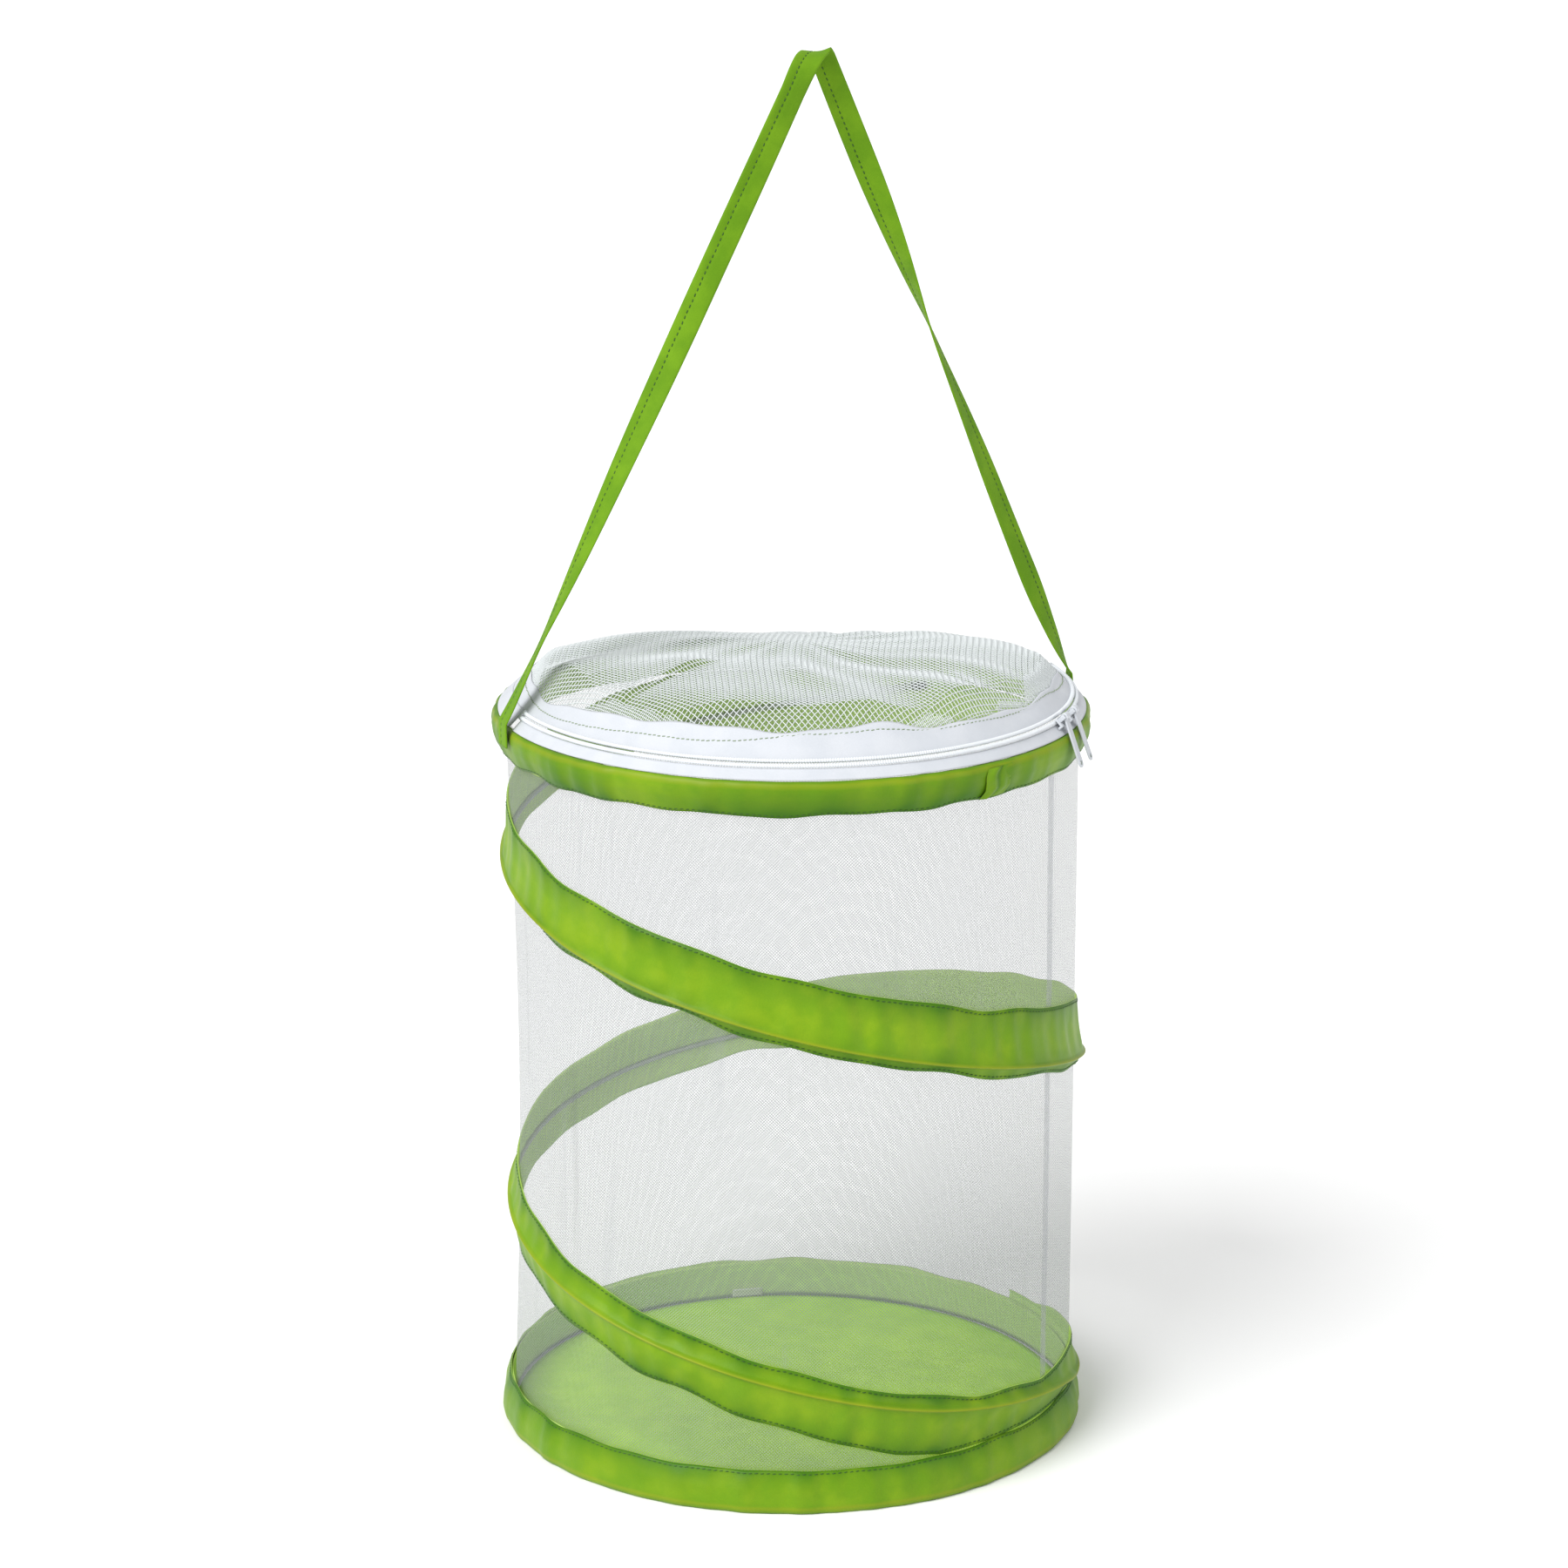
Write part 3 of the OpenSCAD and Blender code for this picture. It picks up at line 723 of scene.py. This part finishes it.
def lid_height(r, az):
    """Height of the lid's upper face: a cone up to a shoulder, then the puffed net."""
    r, az = np.broadcast_arrays(np.asarray(r, float), np.asarray(az, float))
    a = np.radians(az)
    x, y = r * np.cos(a), r * np.sin(a)
    shoulder = 126.5 - 8 * np.clip(openness(az), 0, 1)
    at_shoulder = CONE_R - shoulder
    inner = np.minimum(r / shoulder, 1)
    puff = (CONE_R - HEM_R + CROWN - at_shoulder) * (1 - inner ** (5 + 4 * np.clip(openness(az), 0, 1)))
    base = CAGE_H + 0.6 + (np.where(r < shoulder, at_shoulder + puff, CONE_R - r)) * rise(y)
    inside = smooth((130 - r) / 14)
    # soft folds fan in from the front edge, and slack valleys cross the middle
    fan = 0.9 * ripple(a + 0.15 * np.sin(r / 23), 5, 16, 82) * smooth(r / 60)
    slack = 0.9 * ripple(x / 55 + 0.5 * np.sin(y / 31), 1, 4, 83) + 0.7 * ripple(y / 36 + x / 140, 1, 5, 84)
    # one sharp crease runs in from the hem at the front left, and a lesser one at the front right
    crease = 0
    for px, py, angle, length, step in ((-88, -97, 44, 78, 3.2), (92, -84, 122, 46, 1.6)):
        c, n = math.cos(math.radians(angle)), math.sin(math.radians(angle))
        run = (x - px) * c + (y - py) * n
        off = math.copysign(1, c) * ((y - py) * c - (x - px) * n)
        fade = smooth((run + 6) / 14) * smooth((length - run) / 26)
        crease = crease + step * fade * (smooth((off + 3) / 6) - smooth((off - 6) / 34))
    wobble = 0.45 * ripple(a, 7, 20, 85) * smooth((r - 118) / 8) * smooth((140 - r) / 6)
    return base + inside * ((fan + slack) * 0.5 + crease) * (0.4 + 0.6 * rise(y)) + wobble


def lid_point(x, y, lift):
    """Points of the net, which dips under the white tape."""
    r, az = np.hypot(x, y), np.degrees(np.arctan2(y, x))
    dip = 0.5 * smooth((r - hem_edge(az) + 4) / 3)
    return np.stack([x, y, lid_height(r, az) - dip + lift], -1)


def thread_lattice(pitch, radius, shift, keep):
    """Vertices and faces of knitted threads: two crossing families of fine strands over the lid."""
    n = int(2 * 140 / pitch) + 2
    i, j = np.meshgrid(np.arange(-n, n + 1), np.arange(-n, n + 1), indexing="ij")
    x, y = (i + j) * pitch / 2 + shift, (i - j) * pitch / 2
    pull = 0.5 * pitch
    x2 = x + pull * np.sin(y / 27 + 0.6 * np.sin(x / 41))
    y2 = y + pull * np.sin(x / 33 + 0.8 * np.sin(y / 37))
    ok = keep(np.hypot(x2, y2), np.degrees(np.arctan2(y2, x2)))
    over = 0.16 * np.where((i + j) % 2 == 0, 1, -1)
    verts, faces = [], []
    count = 0
    for axis, sign in ((0, 1), (1, -1)):
        p = lid_point(x2, y2, over * sign)
        t = unit(np.gradient(p, axis=axis) + 1e-9)
        up = unit(np.array([0, 0, 1.0]) - t * t[..., 2:])
        side = np.cross(t, up)
        ring = np.stack([p + side * radius, p + up * radius, p - side * radius, p - up * radius], -2)
        index = np.full(ok.shape, -1)
        index[ok] = count + 4 * np.arange(ok.sum())
        verts.append(ring[ok].reshape(-1, 3))
        first = index[:-1] if axis == 0 else index[:, :-1]
        second = index[1:] if axis == 0 else index[:, 1:]
        both = (first >= 0) & (second >= 0)
        f, g = first[both], second[both]
        for k in range(4):
            m = (k + 1) % 4
            faces.append(np.stack([f + k, f + m, g + m, g + k], -1))
        pad = np.full([1, ok.shape[1]] if axis == 0 else [ok.shape[0], 1], -1)
        wide = np.concatenate([pad, index, pad], axis)
        here = wide[1:-1] if axis == 0 else wide[:, 1:-1]
        before = wide[:-2] if axis == 0 else wide[:, :-2]
        after = wide[2:] if axis == 0 else wide[:, 2:]
        lone = (here >= 0) & (before < 0) & (after < 0)
        ends = here[(here >= 0) & ((before < 0) | (after < 0)) & ~lone]
        faces.append(np.stack([ends, ends + 1, ends + 2, ends + 3], -1))
        count += 4 * ok.sum()
    return np.concatenate(verts), np.concatenate(faces)


def lid_net():
    """The lid's net, with a second layer where it is turned in along the hem."""
    pitch = 3.15

    def whole(r, az):
        return r < hem_edge(az) + 3

    def doubled(r, az):
        turned_in = hem_edge(az) - 9 * (1 - np.clip(openness(az) * 1.6, 0, 1)) + 1
        return whole(r, az) & (r > turned_in)

    v1, f1 = thread_lattice(pitch, 0.3, 0, whole)
    v2, f2 = thread_lattice(pitch, 0.27, pitch / 2, doubled)
    verts = np.concatenate([v1, v2]) * MM
    faces = np.concatenate([f1, f2 + len(v1)])
    mesh = bpy.data.meshes.new("lid_net_cloth")
    mesh.from_pydata(verts.tolist(), [], faces.tolist())
    outwards(mesh)
    return link("lid_net_cloth", mesh, LID_NET)


def lid_tape():
    """The white tape round the lid, with a small roll along its inner edge."""
    az = np.linspace(0, 360, 541)[:-1]
    inner = hem_edge(az)[:, None]
    share = np.linspace(0, 1, 14)
    r = inner + (142.1 - inner) * share
    z = lid_height(r, az[:, None])
    roll = 0.5 * bump((share - 0.06) / 0.12)
    front = polar(r, az[:, None], z + roll)
    rear = polar(r, az[:, None], z - 0.55)
    return surface("lid_tape_cloth", skin(front, rear), WHITE, loop_u=True, loop_v=True)


def across_fold(y):
    """A point y mm behind the lid's fold line, in the row frame in metres."""
    a = math.radians(FOLD_AZ)
    return (-math.sin(a) * (y - FOLD_Y) * MM, math.cos(a) * (y - FOLD_Y) * MM, CAGE_H * MM)


LID_BLEND = ("top", "lid", across_fold(15), across_fold(-15))
lid_net_cloth = lid_net()
finish_piece(lid_net_cloth, blend=LID_BLEND, replaces=["lid_net_rear", "lid_net_front"])
tape = lid_tape()
finish_piece(tape, blend=LID_BLEND, replaces=["lid_tape_rear", "lid_tape_front"])

az = np.linspace(-180, 180, 720, endpoint=False)
r = stitch_radius(az)
path = polar(r, az, lid_height(r, az) + 0.1)
a = np.radians(az)
out = unit(np.stack([np.cos(a) * 0.7, np.sin(a) * 0.7, np.ones_like(a)], -1))
lid_thread = stitches(
    "lid_stitches", path, out, THREAD_GREY,
    size=(2.1, 0.6, 0.5), pitch=2.6, wander=0.12, seed=7, loop=True,
)
finish_piece(lid_thread, blend=LID_BLEND)


# ---- zipper ----


def coil(name, inset):
    """One row of teeth: a thick line round the lid that swells at every tooth."""
    tooth = 1.3
    turns = int(math.radians(ZIP_TO - ZIP_FROM) * (ZIP_R - inset) / tooth)
    az = np.linspace(ZIP_FROM, ZIP_TO, turns * 5)
    beat = np.cos(np.linspace(0, turns * TAU, turns * 5))
    return tube(name, polar(ZIP_R - inset, az, ZIP_Z + inset), 1.02 + 0.16 * beat, COIL)


outer_coil = coil("outer_coil_teeth", 0)
finish_piece(outer_coil, "top", replaces=["outer_coil"])
lid_coil = coil("lid_coil_teeth", COIL_STEP)
finish_piece(lid_coil, blend=LID_BLEND, replaces=["lid_coil_ends", "lid_coil_front"])

az = np.linspace(ZIP_FROM, ZIP_TO, 300)
a = np.radians(az)
share = np.linspace(0, 1, 8)
line_r = CONE_R - 0.05 - 4.7 * share
line_z = CAGE_H + 0.35 + 4.7 * share
wave = 0.16 * ripple(a, 9, 30, 91)[:, None] * np.sin(np.pi * share)
front = polar(line_r + 0.25 + wave * 0.5, az[:, None], line_z + 0.25 + wave * 0.5)
rear = polar(line_r - 0.05, az[:, None], line_z - 0.05)
outer_tape = surface("outer_zipper_tape_cloth", skin(front, rear), WHITE, loop_v=True, caps=True)
finish_piece(outer_tape, "top", replaces=["outer_zipper_tape"])

az = np.linspace(ZIP_TO + 2.5, ZIP_FROM + 360 - 2.5, 240)
share = np.linspace(0, 1, 10)
r = 141.0 + 8.1 * share
wave = 0.25 * ripple(np.radians(az), 8, 26, 92)[:, None] * np.sin(np.pi * share)
z = lid_height(r, az[:, None]) + wave
front, rear = polar(r, az[:, None], z + 0.1), polar(r, az[:, None], z - 0.45)
binding = surface("rear_binding_cloth", skin(front, rear), WHITE, loop_v=True, caps=True)
finish_piece(binding, "top", replaces=["rear_binding_tape"])


def rounded(name, parts, material, placing):
    """Bars with rounded edges, joined. Each part is (centre, size, rounding), placed by a matrix in mm."""
    b = bmesh.new()
    for centre, size, rounding in parts:
        made = bmesh.ops.create_cube(b, size=1)["verts"]
        bmesh.ops.scale(b, vec=size, verts=made)
        edges = list({e for v in made for e in v.link_edges})
        made = bmesh.ops.bevel(
            b, geom=edges, offset=rounding, segments=3, affect="EDGES", profile=0.5,
        )["verts"]
        # the bevel gives back only its own points, so the rest of this bar is reached along its edges
        island = set(made)
        stack = list(made)
        while stack:
            for e in stack.pop().link_edges:
                for v in e.verts:
                    if v not in island:
                        island.add(v)
                        stack.append(v)
        bmesh.ops.translate(b, vec=centre, verts=list(island))
    bmesh.ops.transform(b, matrix=Matrix.Scale(MM, 4) @ placing, verts=b.verts)
    mesh = bpy.data.meshes.new(name)
    b.to_mesh(mesh)
    b.free()
    return link(name, mesh, material)


def circle(radius, count=28):
    """Points round a circle, as pairs."""
    turns = [TAU * k / count for k in range(count)]
    return [(radius * math.cos(t), radius * math.sin(t)) for t in turns]


def bridge(b, first, second):
    """Faces between two closed lines of points."""
    for k in range(len(first)):
        n = (k + 1) % len(first)
        b.faces.new((first[k], first[n], second[n], second[k]))


def pull(name, placing):
    """A flat tab with a round end and a hole, hung on its bored eye. x runs through it and z along it."""
    tip = -24.4  # the middle of the round end and of its hole
    arc = [(2.35 * math.cos(t), tip - 2.5 * math.sin(t)) for t in np.linspace(0, math.pi, 25)]
    outline = [(2.1, -1.3), *arc, (-2.1, -1.3)]
    b = bmesh.new()
    rims = []
    for x, inset in ((-0.5, 0.25), (-0.3, 0), (0.3, 0), (0.5, 0.25)):
        narrow = 1 - inset / 2.4
        line = [(x, y * narrow, z + (inset if z < tip + 0.4 else 0)) for y, z in outline]
        rims.append([b.verts.new(p) for p in line])
    hole = [[b.verts.new((x, y, tip + z)) for y, z in circle(1.25, 24)] for x in (-0.5, 0.5)]
    for first, second in zip(rims, rims[1:]):
        bridge(b, first, second)
    bridge(b, hole[0], hole[1])
    for rim, ring in ((rims[0], hole[0]), (rims[3], hole[1])):
        edges = []
        for line in (rim, ring):
            for k in range(len(line)):
                edges.append(b.edges.get((line[k], line[(k + 1) % len(line)])))
        bmesh.ops.triangle_fill(b, edges=edges, use_beauty=True)
    eye = []
    for y, radius in ((-2.2, 1.6), (-2.0, 1.9), (2.0, 1.9), (2.2, 1.6), (2.2, 0.95), (-2.2, 0.95)):
        eye.append([b.verts.new((x, y, z)) for x, z in circle(radius)])
    for first, second in zip(eye, eye[1:] + eye[:1]):
        bridge(b, first, second)
    bmesh.ops.recalc_face_normals(b, faces=b.faces)
    bmesh.ops.transform(b, matrix=Matrix.Scale(MM, 4) @ placing, verts=b.verts)
    mesh = bpy.data.meshes.new(name)
    b.to_mesh(mesh)
    b.free()
    return link(name, mesh, PLASTIC, smooth_faces=False)


def placed(r, az, z, lean_out):
    """A place on the zipper, in mm, with its own upward axis leaning out from the middle."""
    turn = Matrix.Rotation(math.radians(az), 4, "Z")
    return turn @ Matrix.Translation((r, 0, z)) @ Matrix.Rotation(math.radians(lean_out), 4, "Y")


BAR_X, BAR_UP = 1.0, 5.5  # the pull's bar, in the leaning frame of its slider
pivot_r = ZIP_R + (BAR_UP + BAR_X) / math.sqrt(2)
pivot_z = ZIP_Z + (BAR_UP - BAR_X) / math.sqrt(2)
slider_parts = [
    ((1.7, 0, 2.05), (5.4, 8.8, 1.1), 0.4),
    ((3.8, 0, 0.95), (1.2, 8.8, 2.3), 0.3),
    ((1.7, 0, 2.75), (3.2, 2.4, 0.5), 0.2),
    ((BAR_X, -3, 4.2), (2.2, 1, 4.5), 0.35),
    ((BAR_X, 3, 4.2), (2.2, 1, 4.5), 0.35),
    ((BAR_X, 0, BAR_UP), (1.5, 6.2, 1.5), 0.6),
]
for letter, az in (("a", -24.4), ("b", -19.0)):
    o = rounded(f"slider_{letter}_moulded", slider_parts, PLASTIC, placed(ZIP_R, az, ZIP_Z, 45))
    finish_piece(o, f"slider_{letter}", replaces=[f"slider_{letter}"])
    o = pull(f"pull_{letter}_moulded", placed(pivot_r, az, pivot_z, -20))
    finish_piece(o, f"pull_{letter}", replaces=[f"pull_{letter}"])


# ---- strap ----


def in_strap_frame(v):
    """From the strap's plane, with x along it and y through it, to the row frame."""
    a = math.radians(FOLD_AZ)
    x, y, z = v[..., 0], v[..., 1], v[..., 2]
    return np.stack([x * math.cos(a) - y * math.sin(a), x * math.sin(a) + y * math.cos(a), z], -1)


def strap_line():
    """Points, facing and run of the webbing: up the left leg, over the soft fold and down the right leg."""
    left_slope, right_slope = math.radians(63.3), math.radians(67.4)
    front_len, back_len = 30.0, 7.0  # of the soft fold at the top
    n = 70
    s = np.linspace(0, front_len + back_len, n)
    step = s[1] - s[0]
    turn = np.where(s < front_len, s / front_len * 90, 90 + (s - front_len) / back_len * 90)
    turn = np.radians(180 * smooth(turn / 180) * 0.5 + turn * 0.5)
    slope = left_slope + (right_slope - left_slope) * smooth(s / s[-1])
    slope = slope - math.radians(20) * bump((s - front_len + 3) / (front_len - 4))
    go = np.stack([np.cos(slope), np.sin(slope) * np.sin(turn), np.sin(slope) * np.cos(turn)], -1)
    fold = np.concatenate([[[0, 0, 0]], np.cumsum((go[1:] + go[:-1]) / 2 * step, axis=0)])
    crest = fold[np.argmax(fold[:, 2])]
    fold = fold - crest + [15.5, 0, 708 - 0.6]
    fold[:, 1] -= fold[:, 1].mean()
    fold_face = np.stack([np.zeros(n), -np.cos(turn), np.sin(turn)], -1)
    left_foot, right_foot = np.array([-153.0, 0, 381]), np.array([153.0, 0, 381])

    def leg(foot, head, side):
        """From the sewn foot up to the fold, turning from upright to the leg's own slope."""
        m = 150
        t = np.linspace(0, 1, m)[:, None]
        line = foot + (head - foot) * t
        tack = foot + np.stack([np.zeros(10), np.zeros(10), np.linspace(-10, -1.5, 10)], -1)
        line[:, 0] += side * 1.2 * np.exp(-t[:, 0] * 40)
        return np.concatenate([tack, line[1:-1]])

    left = leg(left_foot, fold[0], -1)
    right = leg(right_foot, fold[-1], 1)[::-1]

    def facing(twist, count):
        """Outer face of a leg, from (share of the way down, azimuth in the row frame)."""
        fractions, azimuths = zip(*twist)
        f = np.linspace(0, 1, count)
        az = np.interp(f, fractions, azimuths)
        kernel = np.ones(9) / 9
        az = np.convolve(np.pad(az, 4, mode="edge"), kernel, "valid")
        a = np.radians(az - FOLD_AZ)
        return np.stack([np.cos(a), np.sin(a), np.zeros(count)], -1)

    left_twist = [
        (0, -70), (0.3, -98), (0.5, -125), (0.7, -155), (0.82, -176), (0.93, -162), (0.96, -160), (1, -160),
    ]
    right_twist = [
        (0, 110), (0.15, 86), (0.4, 2), (0.62, -32), (0.8, -42), (0.9, -12), (0.955, 20), (1, 20),
    ]
    left_face = facing(left_twist, len(left))[::-1]
    right_face = facing(right_twist, len(right))
    points = np.concatenate([left, fold, right])
    face = np.concatenate([left_face, fold_face, right_face])
    along = unit(np.gradient(points, axis=0))
    face = unit(face - (face * along).sum(-1, keepdims=True) * along)
    return in_strap_frame(points), in_strap_frame(along), in_strap_frame(face)


strap_points, strap_along, strap_face = strap_line()
strap_across = np.cross(strap_face, strap_along)


def webbing():
    """The strap's webbing with a groove along its seam, and the seam's place across it."""
    half, thick = STRAP_W / 2, STRAP_T / 2
    seam = half - 4.3
    groove = seam / half
    across = np.array([-1, -0.97, -0.8, -0.4, 0, groove - 0.1, groove, groove + 0.1, 0.8, 0.97, 1])
    height = np.array([0.2, 0.75, 1, 1, 1, 0.95, 0.55, 0.95, 1, 0.75, 0.2]) * thick
    curl = 0.25 * np.sin(np.linspace(0, 40, len(strap_points)))[:, None] * (across ** 2)[None]
    middle = strap_points[:, None] + strap_across[:, None] * (across * half)[None, :, None]
    front = middle + strap_face[:, None] * (height + curl)[..., None]
    rear = middle + strap_face[:, None] * (curl - height)[..., None]
    return surface("strap_webbing_cloth", skin(front, rear), WEBBING, loop_v=True, caps=True), seam


webbing_cloth, seam_at = webbing()
STRAP_BLEND = ("top", "strap", (0, 0, 0.3795), (0, 0, 0.400))
finish_piece(
    webbing_cloth, blend=STRAP_BLEND,
    replaces=["strap_webbing", "strap_end_left", "strap_end_right", "strap_tack_left", "strap_tack_right"],
)
seam_path = strap_points + strap_across * seam_at
both_sides = []
for out, seed in ((strap_face, 8), (-strap_face, 9)):
    path = seam_path + out * 0.42
    both_sides.append(stitches("side", path, out, THREAD, size=(2.0, 0.7, 0.35), wander=0.1, seed=seed))
strap_thread = join("strap_stitches", both_sides)
finish_piece(strap_thread, blend=STRAP_BLEND)


# ---- CAD parts that are kept ----

for node, material in (
    ("bottom_hoop_wire", WIRE), ("top_hoop_wire", WIRE), ("bottom_wire_ferrule", FERRULE),
    ("top_wire_ferrule", FERRULE), ("zipper_stop_left", PLASTIC), ("zipper_stop_right", PLASTIC),
):
    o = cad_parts[node]
    o.data.materials.clear()
    o.data.materials.append(material)


# ---- setting ----

ground = bpy.data.meshes.new("ground")
ground.from_pydata([(-6, -4, 0), (6, -4, 0), (6, 12, 0), (-6, 12, 0)], [], [(0, 1, 2, 3)])
paper = plain("paper", srgb(241, 241, 241), 0.9, patch=0.002, depth=0.0)
ground = link("ground", ground, paper)

world = bpy.data.worlds.new("soft_room")
bpy.context.scene.world = world
world.use_nodes = True
world.node_tree.nodes["Background"].inputs[0].default_value = (1, 1, 1, 1)
world.node_tree.nodes["Background"].inputs[1].default_value = 0.68
bpy.context.scene.view_settings.view_transform = "Standard"


def area_light(name, place, aim, size, power):
    data = bpy.data.lights.new(name, "AREA")
    data.shape = "DISK"
    data.size = size
    data.energy = power
    o = bpy.data.objects.new(name, data)
    bpy.context.scene.collection.objects.link(o)
    o.location = place
    o.rotation_euler = (Vector(aim) - Vector(place)).to_track_quat("-Z", "Y").to_euler()


sun = bpy.data.lights.new("key", "SUN")
sun.energy = 3.25
sun.angle = math.radians(40)
key = bpy.data.objects.new("key", sun)
bpy.context.scene.collection.objects.link(key)
key.rotation_euler = Vector((0.54, 0.49, -0.68)).to_track_quat("-Z", "Y").to_euler()
area_light("fill", (2.0, -1.6, 1.2), (0, 0, 0.3), 1.4, 12)

data = bpy.data.cameras.new("view")
data.lens = 112
data.sensor_width = 36
data.clip_end = 40
camera = bpy.data.objects.new("view", data)
camera.location = (-0.0039, -2.4, 1.0)
camera.rotation_euler = (math.radians(74.55), 0, 0)
bpy.context.scene.collection.objects.link(camera)
bpy.context.scene.camera = camera
